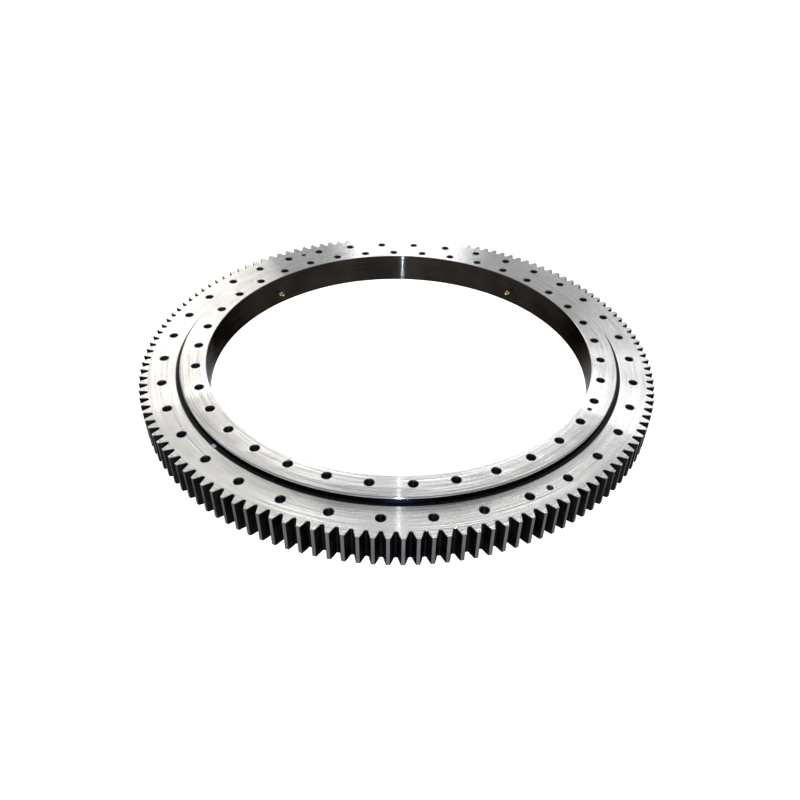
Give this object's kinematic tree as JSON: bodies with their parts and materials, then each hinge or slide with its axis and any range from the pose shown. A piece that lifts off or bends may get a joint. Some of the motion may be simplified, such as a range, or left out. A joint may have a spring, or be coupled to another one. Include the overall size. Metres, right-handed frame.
{
  "type": "slewing ring bearing",
  "caption": "Slewing ring bearing: a toothed outer ring and a bolted inner ring that turn about each other on a sealed row of balls.",
  "frame": {"origin": "on the ring axis, at the bottom face of the gear ring, which is the lowest face of the bearing", "axes": "+Z along the ring axis, from the gear ring's mounting face to the inner ring's mounting face; -Y through the first outer bolt hole, a third of a degree from the middle of a tooth gap"},
  "size_m": [1.1264, 1.1264, 0.08],
  "materials": {
    "gear_steel": "ground faces, dark as-cut teeth, oiled",
    "ring_steel": "ground top face, dark turned bore, oiled",
    "seal_rubber": "smooth black nitrile, slightly glossy with grease",
    "seal_bead": "clear bonded bead",
    "plug_steel": "turned with the dark bore wall",
    "pin_steel": "ground taper pin, dulled",
    "nipple_brass": "bright plated",
    "ball_steel": "polished bearing steel"
  },
  "bodies": {
    "gear_side": {"gear_ring": "gear_steel", "upper_seal": "seal_rubber", "lower_seal": "seal_rubber", "upper_seal_joint": "seal_bead"},
    "inner_side": {"inner_ring": "ring_steel", "loading_plug": "plug_steel", "taper_pin": "pin_steel", "grease_nipple_1": "nipple_brass", "grease_nipple_2": "nipple_brass", "grease_nipple_3": "nipple_brass", "grease_nipple_4": "nipple_brass"},
    "ball_set": {"ball_train_01": "ball_steel", "ball_train_02": "ball_steel", "ball_train_03": "ball_steel", "ball_train_04": "ball_steel", "ball_train_05": "ball_steel", "ball_train_06": "ball_steel", "ball_train_07": "ball_steel", "ball_train_08": "ball_steel", "ball_train_09": "ball_steel", "ball_train_10": "ball_steel", "ball_train_11": "ball_steel", "ball_train_12": "ball_steel", "ball_train_13": "ball_steel", "ball_train_14": "ball_steel", "ball_train_15": "ball_steel", "ball_train_16": "ball_steel", "ball_train_17": "ball_steel", "ball_train_18": "ball_steel", "ball_train_19": "ball_steel", "ball_train_20": "ball_steel", "ball_train_21": "ball_steel", "ball_train_22": "ball_steel", "ball_train_23": "ball_steel", "ball_train_24": "ball_steel", "ball_train_25": "ball_steel", "ball_train_26": "ball_steel", "ball_train_27": "ball_steel", "ball_train_28": "ball_steel"}
  },
  "joints": [
    {"name": "slew", "type": "hinge", "parent": "gear_side", "child": "inner_side", "pos_m": [0, 0, 0.038], "axis": [0, 0, 1], "continuous": true},
    {"name": "ball_orbit", "type": "hinge", "parent": "gear_side", "child": "ball_set", "pos_m": [0, 0, 0.038], "axis": [0, 0, 1], "continuous": true}
  ],
  "couplings": [
    {"joint": "ball_orbit", "follows": "slew", "ratio": 0.489}
  ]
}
